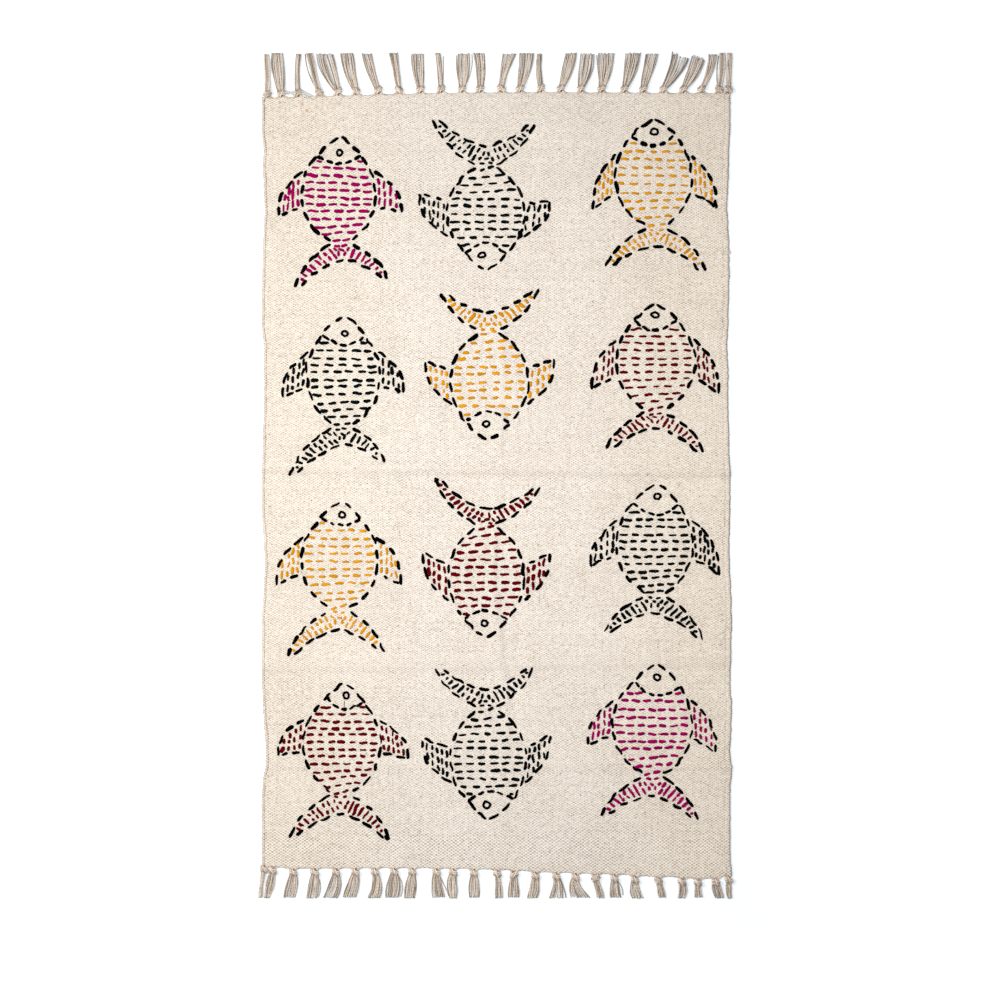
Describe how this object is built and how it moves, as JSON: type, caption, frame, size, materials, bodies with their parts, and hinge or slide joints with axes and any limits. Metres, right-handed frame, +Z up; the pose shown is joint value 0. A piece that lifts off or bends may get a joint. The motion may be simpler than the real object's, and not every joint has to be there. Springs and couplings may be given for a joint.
{
  "type": "kantha rug",
  "caption": "Flat hand-woven cotton rug with knotted tassel fringe along both ends and a face of coloured running-stitch embroidery.",
  "frame": {"origin": "on the floor under the middle of the rug and its fringe", "axes": "+X across the rug, +Y along it, +Z up from the floor"},
  "size_m": [0.7111, 1.264, 0.007],
  "materials": {
    "cotton_cloth": "matt, coarse plain weave",
    "fringe_yarn": "matt twisted yarn",
    "magenta_thread": "soft sheen",
    "mustard_thread": "soft sheen",
    "dark_red_thread": "soft sheen",
    "dark_green_thread": "soft sheen",
    "black_thread": "soft sheen"
  },
  "bodies": {
    "root": {"woven_panel": "cotton_cloth", "tassel_top_01": "fringe_yarn", "tassel_top_02": "fringe_yarn", "tassel_top_03": "fringe_yarn", "tassel_top_04": "fringe_yarn", "tassel_top_05": "fringe_yarn", "tassel_top_06": "fringe_yarn", "tassel_top_07": "fringe_yarn", "tassel_top_08": "fringe_yarn", "tassel_top_09": "fringe_yarn", "tassel_top_10": "fringe_yarn", "tassel_top_11": "fringe_yarn", "tassel_top_12": "fringe_yarn", "tassel_top_13": "fringe_yarn", "tassel_top_14": "fringe_yarn", "tassel_top_15": "fringe_yarn", "tassel_top_16": "fringe_yarn", "tassel_top_17": "fringe_yarn", "tassel_top_18": "fringe_yarn", "tassel_top_19": "fringe_yarn", "tassel_top_20": "fringe_yarn", "tassel_top_21": "fringe_yarn", "tassel_top_22": "fringe_yarn", "tassel_top_23": "fringe_yarn", "tassel_top_24": "fringe_yarn", "tassel_top_25": "fringe_yarn", "tassel_bottom_01": "fringe_yarn", "tassel_bottom_02": "fringe_yarn", "tassel_bottom_03": "fringe_yarn", "tassel_bottom_04": "fringe_yarn", "tassel_bottom_05": "fringe_yarn", "tassel_bottom_06": "fringe_yarn", "tassel_bottom_07": "fringe_yarn", "tassel_bottom_08": "fringe_yarn", "tassel_bottom_09": "fringe_yarn", "tassel_bottom_10": "fringe_yarn", "tassel_bottom_11": "fringe_yarn", "tassel_bottom_12": "fringe_yarn", "tassel_bottom_13": "fringe_yarn", "tassel_bottom_14": "fringe_yarn", "tassel_bottom_15": "fringe_yarn", "tassel_bottom_16": "fringe_yarn", "tassel_bottom_17": "fringe_yarn", "tassel_bottom_18": "fringe_yarn", "tassel_bottom_19": "fringe_yarn", "tassel_bottom_20": "fringe_yarn", "tassel_bottom_21": "fringe_yarn", "tassel_bottom_22": "fringe_yarn", "tassel_bottom_23": "fringe_yarn", "tassel_bottom_24": "fringe_yarn", "tassel_bottom_25": "fringe_yarn"}
  },
  "joints": []
}
